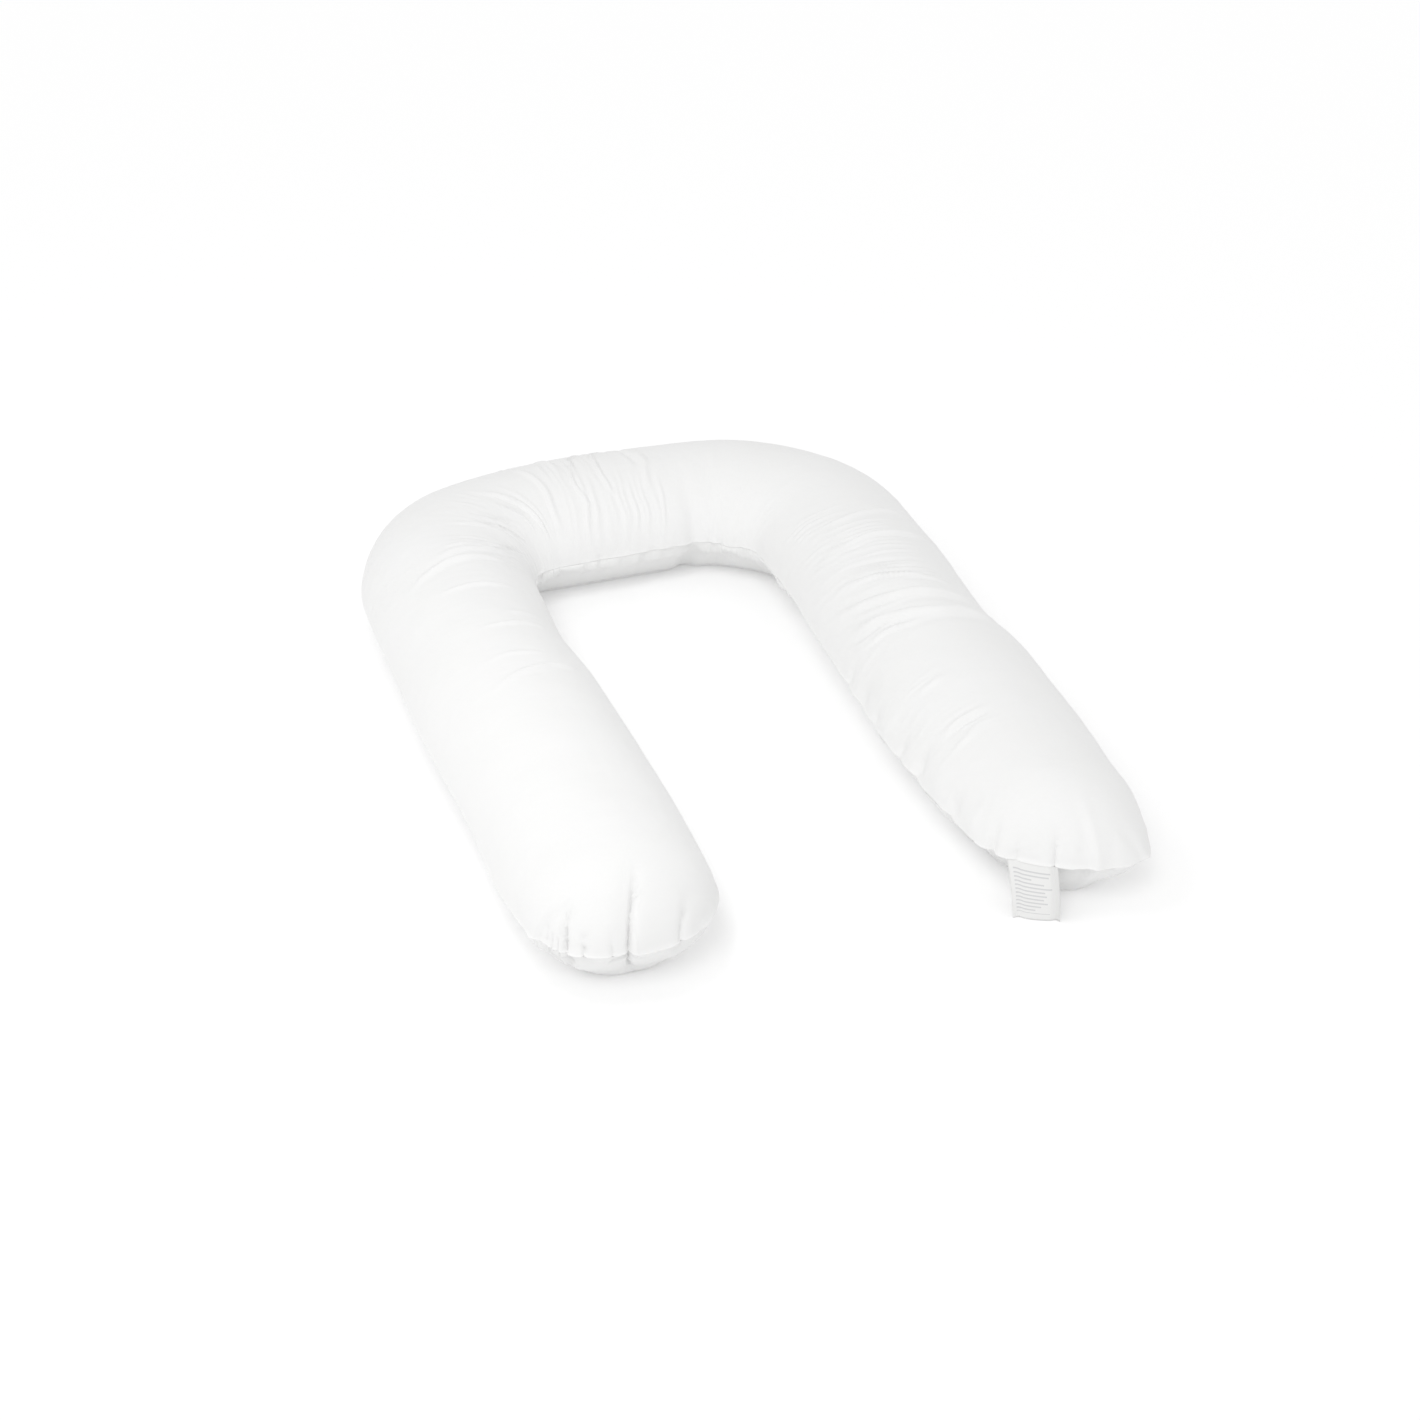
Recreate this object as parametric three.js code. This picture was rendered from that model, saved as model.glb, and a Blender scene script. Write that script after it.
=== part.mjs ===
// A U-shaped pregnancy pillow that lies on its back, with the care label sewn into its end seam.
// Millimetres, +Z up. The pillow lies on z = 0, its closed end is at +Y and its arms reach towards -Y.
import * as THREE from 'three';

// The middle line of the filled tube, which runs from the left tip round the closed end to the right tip
const HALF_SPAN = 283;
const BEND_RADIUS = 173;
const LEFT_ARM = 1065;
const RIGHT_ARM = 1072;
const PLAN_MIDDLE_Y = -478;

// The filled section: both panels meet at a seam, and the underside is pressed flat where it rests
const SEAM_HEIGHT = 71;
const CROWN = 89;
const TOP_POWER = 1.12;
const UNDER_POWER = 1.25;
const UNDER_FULLNESS = 1.2;

// How wide the filled tube is on each side of the middle line, at a run along it
const SECTIONS = [
  { run: 0, outer: 120, inner: 118 },
  { run: 100, outer: 125, inner: 122 },
  { run: 200, outer: 131, inner: 127 },
  { run: 320, outer: 127, inner: 129 },
  { run: 580, outer: 131, inner: 124 },
  { run: 700, outer: 127, inner: 112 },
  { run: 820, outer: 125, inner: 117 },
  { run: 930, outer: 122, inner: 121 },
  { run: 1040, outer: 129, inner: 120 },
  { run: 1130, outer: 114, inner: 123 },
  { run: 1220, outer: 125, inner: 120 },
  { run: 1320, outer: 124, inner: 116 },
  { run: 1410, outer: 117, inner: 120 },
  { run: 1500, outer: 123, inner: 131 },
  { run: 1580, outer: 126, inner: 121 },
  { run: 1680, outer: 126, inner: 112 },
  { run: 1800, outer: 127, inner: 111 },
  { run: 1900, outer: 121, inner: 117 },
  { run: 1990, outer: 118, inner: 120 },
  { run: 2080, outer: 130, inner: 125 },
  { run: 2180, outer: 128, inner: 128 },
  { run: 2300, outer: 123, inner: 125 },
  { run: 2400, outer: 114, inner: 116 },
  { run: 2560, outer: 106, inner: 98 },
];

// Each arm's end: how long it takes to close, how round its two corners are, from 0, square, to 1, a half
// circle, and how far its outer corner reaches on
const LEFT_END = { length: 120, round: { outer: 0.82, inner: 0.95 }, slant: 0 };
const RIGHT_END = { length: 115, round: { outer: 0.7, inner: 0.72 }, slant: 30 };

// Folds across the tube. Their place across is in degrees from the outer seam, 0, to the inner seam, 180.
// A fold starts at the run start, ends at the run end and bows along the tube in between.
const FOLDS = [
  { from: 70, to: 138, start: 500, end: 556, bow: 4, width: 11, rise: 2.5 },
  { from: 88, to: 150, start: 1062, end: 1134, bow: 8, width: 12, rise: 3 },
  { from: 4, to: 134, start: 1262, end: 1228, bow: -30, width: 11, rise: 4 },
  { from: 4, to: 128, start: 1300, end: 1266, bow: -28, width: 11, rise: 4 },
  { from: 28, to: 132, start: 1790, end: 1812, bow: 20, width: 11, rise: 2.5 },
  { from: 60, to: 138, start: 1956, end: 1894, bow: 8, width: 12, rise: 3 },
  { from: 44, to: 150, start: 1990, end: 1934, bow: 27, width: 12, rise: 5 },
  { from: 40, to: 150, start: 2036, end: 1984, bow: 32, width: 12, rise: 5 },
];

// How quickly a fold dies out at its two ends: below 1 it keeps its height for longer
const FOLD_FADE = 0.7;

// Where the underside is drawn up off the surface or, with a rise below 0, is fuller than elsewhere
const UNDER_SHAPES = [
  { run: 30, across: 40, length: 30, spread: 25, rise: -9 },
  { run: 30, across: 140, length: 30, spread: 25, rise: -9 },
  { run: 1368, across: 152, length: 11, spread: 24, rise: 18 },
  { run: 2478, across: 145, length: 45, spread: 32, rise: 36 },
  { run: 2525, across: 35, length: 30, spread: 25, rise: -12 },
];

// Pleats that start in an end seam and fade out along the arm. Their place across is in millimetres from the
// middle of the arm, outwards.
const PLEATS = [
  { end: 'left', across: 68, reach: 70, width: 13, rise: -4 },
  { end: 'left', across: -30, reach: 80, width: 15, rise: -5 },
  { end: 'left', across: -88, reach: 70, width: 13, rise: -6 },
  { end: 'right', across: -38, reach: 70, width: 14, rise: -4 },
  { end: 'right', across: -98, reach: 60, width: 13, rise: -8 },
];

// How soon a pleat reaches its depth on the way up from the seam
const PLEAT_START = 3;

// The seam is drawn in at a few stitches
const PINCHES = [
  { side: 'inner', run: 1368, width: 13, depth: 6 },
  { side: 'outer', run: 2024, width: 18, depth: 4 },
];

// How finely the surface is divided
const CELLS_ACROSS = 16;
const CELLS_AT_END = 8;
const PLAIN_STEP = 25;
const FOLD_STEP = 9;

// The care label, caught in the right end's seam, and how far it stands out along the arm at its lower edge.
// The gap to the seam is measured along the arm, so it is a little less square to the seam.
const LABEL = { width: 51, thickness: 1.1, nearMiddle: -36, standOutNear: 13, standOutFar: 25, bow: 4 };
const LABEL_GAP = 0.7;
const LABEL_CELLS = { across: 6, down: 8 };

const QUARTER_TURN = Math.PI / 2;
const LEFT_BEND_AT = LEFT_ARM - BEND_RADIUS;
const BACK_AT = LEFT_BEND_AT + QUARTER_TURN * BEND_RADIUS;
const RIGHT_BEND_AT = BACK_AT + 2 * (HALF_SPAN - BEND_RADIUS);
const RIGHT_ARM_AT = RIGHT_BEND_AT + QUARTER_TURN * BEND_RADIUS;
const WHOLE_RUN = RIGHT_ARM_AT + RIGHT_ARM - BEND_RADIUS;

const ANGLES = Array.from({ length: CELLS_ACROSS + 1 }, (_, j) => (180 * j) / CELLS_ACROSS);

const clamp = THREE.MathUtils.clamp;

// The point and the direction of the middle line at a run from the left tip
function middleLine(run) {
  if (run < LEFT_BEND_AT) {
    return { x: -HALF_SPAN, y: run - LEFT_ARM, alongX: 0, alongY: 1 };
  }
  if (run < BACK_AT) {
    const turn = (run - LEFT_BEND_AT) / BEND_RADIUS;
    const x = -HALF_SPAN + BEND_RADIUS * (1 - Math.cos(turn));
    const y = BEND_RADIUS * (Math.sin(turn) - 1);
    return { x, y, alongX: Math.sin(turn), alongY: Math.cos(turn) };
  }
  if (run < RIGHT_BEND_AT) {
    return { x: run - BACK_AT - HALF_SPAN + BEND_RADIUS, y: 0, alongX: 1, alongY: 0 };
  }
  if (run < RIGHT_ARM_AT) {
    const turn = (run - RIGHT_BEND_AT) / BEND_RADIUS;
    const x = HALF_SPAN + BEND_RADIUS * (Math.sin(turn) - 1);
    const y = BEND_RADIUS * (Math.cos(turn) - 1);
    return { x, y, alongX: Math.cos(turn), alongY: -Math.sin(turn) };
  }
  return { x: HALF_SPAN, y: RIGHT_ARM_AT - BEND_RADIUS - run, alongX: 0, alongY: -1 };
}

// A smooth curve through one column of the sections table
function widthAt(run, column) {
  const last = SECTIONS.length - 1;
  let i = 0;
  while (i < last - 1 && SECTIONS[i + 1].run < run) i += 1;
  const slope = (k) => {
    const before = SECTIONS[Math.max(k - 1, 0)];
    const after = SECTIONS[Math.min(k + 1, last)];
    return (after[column] - before[column]) / (after.run - before.run);
  };
  const span = SECTIONS[i + 1].run - SECTIONS[i].run;
  const t = clamp((run - SECTIONS[i].run) / span, 0, 1);
  const ease = t * t * (3 - 2 * t);
  const bend = t * (1 - t) * span * ((1 - t) * slope(i) - t * slope(i + 1));
  return THREE.MathUtils.lerp(SECTIONS[i][column], SECTIONS[i + 1][column], ease) + bend;
}

function bump(distance, width) {
  return Math.exp(-((distance / width) ** 2));
}

function pinchAt(run, side) {
  const here = PINCHES.filter((pinch) => pinch.side === side);
  return here.reduce((sum, pinch) => sum + pinch.depth * bump(run - pinch.run, pinch.width), 0);
}

// A ridge with a shallow trough on each side of it
function ridge(distance, width) {
  const d = (distance / width) ** 2;
  return (1 - d) * Math.exp(-d / 2);
}

// How far the folds lift the top panel at a run, at an angle across
function foldsAt(run, degrees) {
  let lift = 0;
  for (const fold of FOLDS) {
    const t = (degrees - fold.from) / (fold.to - fold.from);
    if (t <= 0 || t >= 1) continue;
    const middle = THREE.MathUtils.lerp(fold.start, fold.end, t) + 4 * fold.bow * t * (1 - t);
    lift += fold.rise * Math.sin(Math.PI * t) ** FOLD_FADE * ridge(run - middle, fold.width);
  }
  return lift;
}

// How far the underside is lifted off its plain section
function underShapeAt(run, degrees) {
  return UNDER_SHAPES.reduce((sum, place) => {
    const near = bump(run - place.run, place.length) * bump(degrees - place.across, place.spread);
    return sum + place.rise * near;
  }, 0);
}

// How far the pleats lift the top panel: most in the seam, and nothing where they end
function pleatsAt(run, across) {
  let lift = 0;
  for (const pleat of PLEATS) {
    const fromTip = pleat.end === 'left' ? run : WHOLE_RUN - run;
    if (fromTip > pleat.reach) continue;
    const fade = Math.cos((QUARTER_TURN * fromTip) / pleat.reach);
    lift += pleat.rise * fade * bump(across - pleat.across, pleat.width);
  }
  return lift;
}

// One point of a panel, at a run along the tube and an angle across it
function panelPoint(panel, run, degrees) {
  const line = middleLine(run);
  const angle = THREE.MathUtils.degToRad(degrees);
  const side = degrees <= 90 ? 'outer' : 'inner';
  const share = Math.cos(angle);
  const half = widthAt(run, side) - pinchAt(run, side);
  const closing = [
    { end: LEFT_END, q: clamp(1 - run / LEFT_END.length, 0, 1), sign: -1 },
    { end: RIGHT_END, q: clamp(1 - (WHOLE_RUN - run) / RIGHT_END.length, 0, 1), sign: 1 },
  ];
  let across = share * half;
  let along = 0;
  let height = Math.sin(angle);
  for (const { end, q, sign } of closing) {
    across *= Math.sqrt(1 - (end.round[side] * q * q) / 2);
    const reach = end.length * q * (Math.sqrt(1 - (end.round[side] * share * share) / 2) - 1);
    along += sign * (reach + end.slant * share * q * q);
    height *= Math.sqrt(1 - q * q);
  }
  let z;
  if (panel === 'top') {
    const lift = height * (foldsAt(run, degrees) + pleatsAt(run, across) * Math.min(1, PLEAT_START * height));
    across += lift * share;
    z = SEAM_HEIGHT + CROWN * height ** TOP_POWER + lift;
  } else {
    const fall = UNDER_FULLNESS * height ** UNDER_POWER;
    z = Math.max(0, SEAM_HEIGHT * (1 - fall) + underShapeAt(run, degrees) * Math.sqrt(height));
  }
  const x = line.x - line.alongY * across + line.alongX * along;
  const y = line.y + line.alongX * across + line.alongY * along;
  return new THREE.Vector3(x, y - PLAN_MIDDLE_Y, z);
}

// Runs from tip to tip: close together at both tips and at the folds
function stations() {
  const runs = [];
  for (let i = 0; i < CELLS_AT_END; i += 1) {
    runs.push(LEFT_END.length * (1 - Math.cos((QUARTER_TURN * i) / CELLS_AT_END)));
  }
  const nearFold = (run) => FOLDS.some((fold) => {
    const middle = (fold.start + fold.end) / 2 + fold.bow / 2;
    const half = Math.abs(fold.start - fold.end) / 2 + Math.abs(fold.bow) / 2 + fold.width;
    return Math.abs(run - middle) < half;
  });
  const nearPinch = (run) => PINCHES.some((pinch) => Math.abs(run - pinch.run) < 2 * pinch.width);
  const lastPlain = WHOLE_RUN - RIGHT_END.length;
  let run = LEFT_END.length;
  while (run < lastPlain - FOLD_STEP) {
    runs.push(run);
    run += nearFold(run + FOLD_STEP) || nearPinch(run + FOLD_STEP) ? FOLD_STEP : PLAIN_STEP;
  }
  for (let i = CELLS_AT_END; i >= 0; i -= 1) {
    runs.push(WHOLE_RUN - RIGHT_END.length * (1 - Math.cos((QUARTER_TURN * i) / CELLS_AT_END)));
  }
  return runs;
}

const RUNS = stations();

// A closed body from two grids of points that share their rim
function closedBody(upper, lower) {
  const rows = upper.length;
  const columns = upper[0].length;
  const points = [];
  const number = new Map();
  const indexOf = (grid, i, j) => {
    const onRim = i === 0 || j === 0 || i === rows - 1 || j === columns - 1;
    const key = `${onRim ? 'rim' : grid} ${i} ${j}`;
    if (!number.has(key)) {
      number.set(key, points.length);
      points.push((grid === 'lower' ? lower : upper)[i][j]);
    }
    return number.get(key);
  };
  const faces = [];
  for (const grid of ['upper', 'lower']) {
    for (let i = 0; i < rows - 1; i += 1) {
      for (let j = 0; j < columns - 1; j += 1) {
        const a = indexOf(grid, i, j);
        const b = indexOf(grid, i + 1, j);
        const c = indexOf(grid, i + 1, j + 1);
        const d = indexOf(grid, i, j + 1);
        if (grid === 'upper') faces.push(a, d, c, a, c, b);
        else faces.push(a, b, c, a, c, d);
      }
    }
  }
  const geometry = new THREE.BufferGeometry().setFromPoints(points);
  geometry.setIndex(faces);
  geometry.computeVertexNormals();
  return geometry;
}

function pillowGeometry() {
  const grid = (panel) => RUNS.map((run) => ANGLES.map((angle) => panelPoint(panel, run, angle)));
  return closedBody(grid('top'), grid('under'));
}

// The point of the right end's seam, facet by facet and round its inner corner, at a distance across,
// outwards from the middle of the arm
function endSeamPoint(across) {
  const x = HALF_SPAN + across;
  const end = ANGLES.map((angle) => panelPoint('top', WHOLE_RUN, angle));
  const innerSide = RUNS.map((run) => panelPoint('top', run, 180)).reverse();
  const seam = [...end, ...innerSide.slice(1)];
  const next = seam.findIndex((point) => point.x < x);
  const share = (seam[next - 1].x - x) / (seam[next - 1].x - seam[next].x);
  return new THREE.Vector3().lerpVectors(seam[next - 1], seam[next], share);
}

// The label hangs from the seam to the surface, and its lower edge stands further out than the seam
function labelGeometry() {
  const { width, thickness, nearMiddle, standOutNear, standOutFar, bow } = LABEL;
  const faceGrid = (offset) => {
    const rows = [];
    for (let i = 0; i <= LABEL_CELLS.down; i += 1) {
      const down = i / LABEL_CELLS.down;
      const row = [];
      for (let j = 0; j <= LABEL_CELLS.across; j += 1) {
        const share = j / LABEL_CELLS.across;
        const top = endSeamPoint(nearMiddle - width * share);
        const standOut = THREE.MathUtils.lerp(standOutNear, standOutFar, share);
        const out = LABEL_GAP + offset + standOut * down + bow * Math.sin(Math.PI * down);
        row.push(new THREE.Vector3(top.x, top.y - out, SEAM_HEIGHT * (1 - down)));
      }
      rows.push(row);
    }
    return rows;
  };
  return closedSheet(faceGrid(thickness), faceGrid(0));
}

// A closed sheet from its outer and inner faces, with a wall round its edge
function closedSheet(outer, inner) {
  const rows = outer.length;
  const columns = outer[0].length;
  const points = [...outer.flat(), ...inner.flat()];
  const faces = [];
  const at = (face, i, j) => face * rows * columns + i * columns + j;
  for (let i = 0; i < rows - 1; i += 1) {
    for (let j = 0; j < columns - 1; j += 1) {
      faces.push(at(0, i, j), at(0, i, j + 1), at(0, i + 1, j + 1));
      faces.push(at(0, i, j), at(0, i + 1, j + 1), at(0, i + 1, j));
      faces.push(at(1, i, j), at(1, i + 1, j + 1), at(1, i, j + 1));
      faces.push(at(1, i, j), at(1, i + 1, j), at(1, i + 1, j + 1));
    }
  }
  const wall = (i, j, k, l) => {
    faces.push(at(0, i, j), at(1, i, j), at(1, k, l));
    faces.push(at(0, i, j), at(1, k, l), at(0, k, l));
  };
  for (let j = 0; j < columns - 1; j += 1) {
    wall(0, j, 0, j + 1);
    wall(rows - 1, j + 1, rows - 1, j);
  }
  for (let i = 0; i < rows - 1; i += 1) {
    wall(i + 1, 0, i, 0);
    wall(i, columns - 1, i + 1, columns - 1);
  }
  const geometry = new THREE.BufferGeometry().setFromPoints(points);
  geometry.setIndex(faces);
  geometry.computeVertexNormals();
  return geometry;
}

const brushedFabric = new THREE.MeshStandardMaterial({ color: 0xf4f3f1, roughness: 0.9, metalness: 0 });
const labelSatin = new THREE.MeshStandardMaterial({ color: 0xf7f6f3, roughness: 0.6, metalness: 0 });

const pillow = new THREE.Mesh(pillowGeometry(), brushedFabric);
pillow.name = 'pillow';

const careLabel = new THREE.Mesh(labelGeometry(), labelSatin);
careLabel.name = 'care_label';

const part = new THREE.Group();
part.add(pillow, careLabel);

export default part;
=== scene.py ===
# %% [markdown]
# # A U-shaped pregnancy pillow
# A long filled pillow lies on its back on a pale floor. It is two panels of white brushed fabric, sewn
# together round their rim and stuffed with loose fibre, and a small white care label hangs out of one end
# seam. The construction model fixes its place and its size. This lesson makes the fine surface that stands
# for it.

import bpy
import numpy as np
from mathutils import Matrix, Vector


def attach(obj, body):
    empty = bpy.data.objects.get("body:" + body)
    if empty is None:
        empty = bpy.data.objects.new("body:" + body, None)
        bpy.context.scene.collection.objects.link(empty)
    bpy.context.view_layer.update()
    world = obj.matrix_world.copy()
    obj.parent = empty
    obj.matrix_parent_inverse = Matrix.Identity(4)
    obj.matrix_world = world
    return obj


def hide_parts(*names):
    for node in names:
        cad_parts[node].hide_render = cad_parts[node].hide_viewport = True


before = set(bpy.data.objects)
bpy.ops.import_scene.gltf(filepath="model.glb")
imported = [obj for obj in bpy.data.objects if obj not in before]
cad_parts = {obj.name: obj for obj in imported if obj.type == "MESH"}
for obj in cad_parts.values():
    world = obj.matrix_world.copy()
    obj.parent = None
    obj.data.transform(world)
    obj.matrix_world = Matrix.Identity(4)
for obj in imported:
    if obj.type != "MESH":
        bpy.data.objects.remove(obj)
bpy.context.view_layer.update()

MM = 0.001

# %% [markdown]
# ## The camera
# The picture to match was taken from a little over two metres up, with a long lens and a little from the
# left. The camera is given by the point it looks at, its direction and its distance, because those are what
# one changes by hand.

# %% Camera
LOOK_AT = Vector((0.002, 0.0235, 0.0))
CAMERA_AZIMUTH = np.radians(-18.71)
CAMERA_ELEVATION = np.radians(31.04)
CAMERA_DISTANCE = 4.326
LENS_MM = 80.3
SENSOR_MM = 36

towards_camera = Vector((
    np.sin(CAMERA_AZIMUTH) * np.cos(CAMERA_ELEVATION),
    -np.cos(CAMERA_AZIMUTH) * np.cos(CAMERA_ELEVATION),
    np.sin(CAMERA_ELEVATION),
))
lens = bpy.data.cameras.new("camera")
lens.lens = LENS_MM
lens.sensor_width = SENSOR_MM
camera = bpy.data.objects.new("camera", lens)
camera.location = LOOK_AT + towards_camera * CAMERA_DISTANCE
camera.rotation_mode = "QUATERNION"
camera.rotation_quaternion = towards_camera.to_track_quat("Z", "Y")
bpy.context.scene.collection.objects.link(camera)
bpy.context.scene.camera = camera
print("camera at", [round(v, 3) for v in camera.location])

# %% [markdown]
# ## Helpers for materials
# Colours are written as the hex values that one reads off a screen, and Blender's shaders work in linear
# light, so one function turns the first into the second. Another adds a node with its settings and links in
# one call, which keeps a material's recipe short enough to read.


# %% Colour and node helpers
def linear(hex_colour):
    """An sRGB hex colour as linear red, green, blue and alpha."""
    srgb = np.array([int(hex_colour[i:i + 2], 16) / 255 for i in (1, 3, 5)])
    light = np.where(srgb <= 0.04045, srgb / 12.92, ((srgb + 0.055) / 1.055) ** 2.4)
    return (*light, 1.0)


def add_node(tree, kind, settings=(), inputs=()):
    """Adds a node. Settings are its own properties; an input takes a value or another node's output."""
    node = tree.nodes.new(kind)
    for name, value in dict(settings).items():
        setattr(node, name, value)
    for name, value in dict(inputs).items():
        if isinstance(value, bpy.types.NodeSocket):
            tree.links.new(value, node.inputs[name])
        else:
            node.inputs[name].default_value = value
    return node


def new_material(name):
    """An empty node material and its output node."""
    material = bpy.data.materials.new(name)
    material.use_nodes = True
    material.node_tree.nodes.clear()
    return material, add_node(material.node_tree, "ShaderNodeOutputMaterial")


# %% [markdown]
# ## The floor
# Catalogue photos of white things are taken on a table of white acrylic that is lit from below, so that
# hardly a shadow shows. The floor is a matt white sheet, far wider than the view, with no lamp below it. It
# glows a little by itself: painted light that lightens the shadows on it.

# %% Floor
FLOOR_HALF = 60.0
FLOOR_GLOW = 0.2


def glowing_floor_sheet():
    """Matt white acrylic that glows a little by itself: painted light that lightens the shadows on it."""
    material, output = new_material("white_floor_painted_glow")
    tree = material.node_tree
    sheet = add_node(tree, "ShaderNodeBsdfPrincipled", inputs={
        "Base Color": linear("#E8E8E8"), "Roughness": 0.9, "Specular IOR Level": 0.1,
        # The emission is painted light: a glow that lightens the shadows falling on the floor.
        "Emission Color": linear("#FFFFFF"), "Emission Strength": FLOOR_GLOW,
    })
    tree.links.new(sheet.outputs["BSDF"], output.inputs["Surface"])
    return material


floor_mesh = bpy.data.meshes.new("floor")
corners = [(-FLOOR_HALF, -FLOOR_HALF, 0), (FLOOR_HALF, -FLOOR_HALF, 0),
           (FLOOR_HALF, FLOOR_HALF, 0), (-FLOOR_HALF, FLOOR_HALF, 0)]
floor_mesh.from_pydata(corners, [], [(0, 1, 2, 3)])
floor = bpy.data.objects.new("floor", floor_mesh)
floor.location.z = -0.2 * MM
floor.data.materials.append(glowing_floor_sheet())
bpy.context.scene.collection.objects.link(floor)
print("floor", 2 * FLOOR_HALF, "m wide")

# %% [markdown]
# ## Light
# White cloth on white shows its form only by soft shading. Most light comes evenly from the white room. A
# broad far lamp, high up in front and to the left, models the crown and the folds, and a small near one
# hangs over the left arm, so that the light falls off a little towards the back and the arm ends, as it
# does in a real studio.

# %% Light
ROOM_STRENGTH = 0.82
FAR_LAMP_FROM = Vector((-0.36, -0.52, 0.77))
FAR_LAMP_AWAY = 3
FAR_LAMP_STRENGTH = 0.66
FAR_LAMP_DISC = np.radians(26)
NEAR_LAMP_AT = Vector((-0.6, -0.35, 1.2))
NEAR_LAMP_WATTS = 2.5
NEAR_LAMP_SIZE = 0.6

room = bpy.data.worlds.new("white_room")
room.use_nodes = True
room.node_tree.nodes["Background"].inputs["Color"].default_value = linear("#FFFFFF")
room.node_tree.nodes["Background"].inputs["Strength"].default_value = ROOM_STRENGTH
bpy.context.scene.world = room
bpy.context.scene.view_settings.view_transform = "Standard"


def hang_lamp(lamp_data, place, shines_from):
    """Puts a lamp into the scene, turned so that its light comes from the given direction."""
    lamp = bpy.data.objects.new(lamp_data.name, lamp_data)
    lamp.location = place
    lamp.rotation_mode = "QUATERNION"
    lamp.rotation_quaternion = shines_from.to_track_quat("Z", "Y")
    bpy.context.scene.collection.objects.link(lamp)


far_lamp = bpy.data.lights.new("far_lamp", "SUN")
far_lamp.energy = FAR_LAMP_STRENGTH
far_lamp.angle = FAR_LAMP_DISC
hang_lamp(far_lamp, FAR_LAMP_FROM * FAR_LAMP_AWAY, FAR_LAMP_FROM)
near_lamp = bpy.data.lights.new("near_lamp", "AREA")
near_lamp.shape = "DISK"
near_lamp.size = NEAR_LAMP_SIZE
near_lamp.energy = NEAR_LAMP_WATTS
hang_lamp(near_lamp, NEAR_LAMP_AT, Vector((0, 0, 1)))
print("room light", ROOM_STRENGTH, "far lamp", FAR_LAMP_STRENGTH, "near lamp", NEAR_LAMP_WATTS, "W")

# %% [markdown]
# ## The plan of the pillow
# A sewer would cut both panels to one U-shaped outline. Here the outline is a middle line, two straight
# arms and a closed end with two bends, and a table of how far the seam is from that line on each side. All
# lengths are in millimetres, and a run is measured along the middle line from the tip of the left arm.


# %% Middle line and widths
def table(columns, rows):
    """A short table whose columns are read by name."""
    return np.rec.fromrecords(rows, names=columns)


HALF_SPAN = 283
BEND_RADIUS = 173
LEFT_ARM = 1065
RIGHT_ARM = 1072
PLAN_MIDDLE_Y = -478
SECTIONS = table("run, outer, inner", [
    (0, 120, 118), (100, 125, 122), (200, 131, 127), (320, 127, 129), (580, 131, 124),
    (700, 127, 112), (820, 125, 117), (930, 122, 121), (1040, 129, 120), (1130, 114, 123),
    (1220, 125, 120), (1320, 124, 116), (1410, 117, 120), (1500, 123, 131), (1580, 126, 121),
    (1680, 126, 112), (1800, 127, 111), (1900, 121, 117), (1990, 118, 120), (2080, 130, 125),
    (2180, 128, 128), (2300, 123, 125), (2400, 114, 116), (2560, 106, 98),
])

QUARTER_TURN = np.pi / 2
LEFT_BEND_AT = LEFT_ARM - BEND_RADIUS
BACK_AT = LEFT_BEND_AT + QUARTER_TURN * BEND_RADIUS
RIGHT_BEND_AT = BACK_AT + 2 * (HALF_SPAN - BEND_RADIUS)
RIGHT_ARM_AT = RIGHT_BEND_AT + QUARTER_TURN * BEND_RADIUS
WHOLE_RUN = RIGHT_ARM_AT + RIGHT_ARM - BEND_RADIUS


def middle_line(run):
    """The middle line's x and y, and its direction, at a run."""
    left_turn = np.clip((run - LEFT_BEND_AT) / BEND_RADIUS, 0, QUARTER_TURN)
    right_turn = np.clip((run - RIGHT_BEND_AT) / BEND_RADIUS, 0, QUARTER_TURN)
    back = np.clip(run - BACK_AT, 0, RIGHT_BEND_AT - BACK_AT)
    x = -HALF_SPAN + BEND_RADIUS * (1 - np.cos(left_turn) + np.sin(right_turn)) + back
    y = np.minimum(run - LEFT_ARM, -BEND_RADIUS) - np.maximum(run - RIGHT_ARM_AT, 0)
    y = y + BEND_RADIUS * (np.sin(left_turn) + np.cos(right_turn) - 1)
    turn = left_turn + right_turn
    return x, y - PLAN_MIDDLE_Y, np.sin(turn), np.cos(turn)


def width_at(run, widths):
    """A smooth curve through one column of the sections table."""
    at = SECTIONS.run.astype(float)
    before = np.maximum(np.arange(len(at)) - 1, 0)
    after = np.minimum(np.arange(len(at)) + 1, len(at) - 1)
    slope = (widths[after] - widths[before]) / (at[after] - at[before])
    i = np.clip(np.searchsorted(at, run) - 1, 0, len(at) - 2)
    span = at[i + 1] - at[i]
    t = np.clip((run - at[i]) / span, 0, 1)
    ease = t * t * (3 - 2 * t)
    bend = t * (1 - t) * span * ((1 - t) * slope[i] - t * slope[i + 1])
    return widths[i] + (widths[i + 1] - widths[i]) * ease + bend


print("middle line", round(WHOLE_RUN), "mm long")

# %% [markdown]
# ## The filled section
# Both panels meet in the seam at a little under half of the height. The top panel is crowned, and the
# underside is pressed flat on the floor by the pillow's own weight. A place across a panel is an angle, 0
# degrees in the outer seam, 90 on the crown and 180 in the inner seam, so that points crowd together near
# the seam, where the cloth turns. The two arm ends close like a squared-off bolster, the right one a little
# askew. The underside keeps its fullness up to the ends and turns into them in a rounded corner.

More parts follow.
